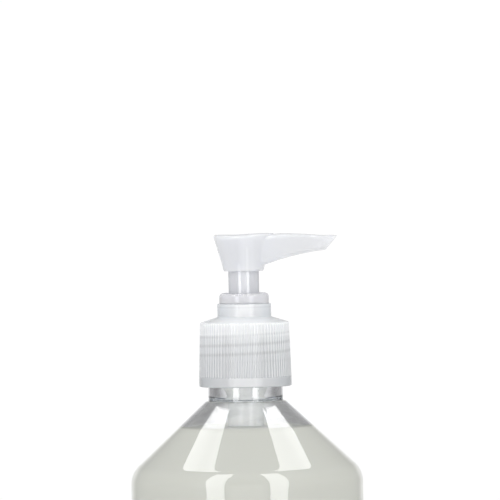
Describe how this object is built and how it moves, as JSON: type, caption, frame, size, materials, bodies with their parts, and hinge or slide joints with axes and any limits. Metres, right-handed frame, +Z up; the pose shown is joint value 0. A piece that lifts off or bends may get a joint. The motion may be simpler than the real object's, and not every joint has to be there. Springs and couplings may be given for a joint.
{
  "type": "pump oil bottle",
  "caption": "Clear plastic bottle with a conical shoulder, filled with cloudy massage oil, closed by a ribbed screw closure with a push-down dispensing pump and side nozzle.",
  "frame": {"origin": "centre of the bottle's base on the plane it stands on", "axes": "+Z up along the bottle's axis, +X along the nozzle"},
  "size_m": [0.068, 0.068, 0.208],
  "materials": {
    "clear_pet": "clear polished PET, stretch blown",
    "cloudy_oil": "cloudy pale liquid",
    "natural_pp": "translucent natural polypropylene, finely ribbed",
    "foam_pe": "white foamed polyethylene",
    "natural_pp_housing": "translucent natural polypropylene",
    "natural_pp_ring": "translucent natural polypropylene, polished",
    "natural_pp_head": "milky natural polypropylene, satin",
    "clear_pp": "clear polypropylene tube",
    "natural_pp_rod": "natural polypropylene",
    "ldpe": "soft low-density polyethylene",
    "stainless": "drawn stainless wire",
    "glass_ball": "ground glass ball",
    "ldpe_tube": "translucent extruded tube"
  },
  "bodies": {
    "bottle": {"bottle": "clear_pet", "oil": "cloudy_oil"},
    "pump": {"pump_housing": "natural_pp_housing", "gasket": "foam_pe", "chaplet": "natural_pp_ring", "dip_tube": "ldpe_tube", "spring": "stainless"},
    "cap": {"closure": "natural_pp"},
    "plunger": {"piston_rod": "natural_pp_rod"},
    "head": {"actuator": "natural_pp_head", "stem": "clear_pp"},
    "piston": {"piston": "ldpe"},
    "ball": {"inlet_ball": "glass_ball"}
  },
  "joints": [
    {"name": "closure_turn", "type": "hinge", "parent": "pump", "child": "cap", "pos_m": [0, 0, 0.172], "axis": [0, 0, 1], "range_deg": [0, 540]},
    {"name": "pump_lift", "type": "slide", "parent": "bottle", "child": "pump", "axis": [0, 0, 1], "range_m": [0, 0.00405]},
    {"name": "head_press", "type": "slide", "parent": "pump", "child": "plunger", "axis": [0, 0, -1], "range_m": [0, 0.007], "stiffness_N_per_m": 900, "springref_m": -0.012, "deforming": ["spring"]},
    {"name": "head_swivel", "type": "hinge", "parent": "plunger", "child": "head", "pos_m": [0, 0, 0.19], "axis": [0, 0, 1], "continuous": true},
    {"name": "piston_travel", "type": "slide", "parent": "plunger", "child": "piston", "axis": [0, 0, 1], "range_m": [0, 0.00095]},
    {"name": "inlet_ball_lift", "type": "slide", "parent": "pump", "child": "ball", "axis": [0, 0, 1], "range_m": [0, 0.0011]}
  ],
  "couplings": [
    {"joint": "closure_turn", "follows": "pump_lift", "rad_per_m": 2327.1}
  ]
}
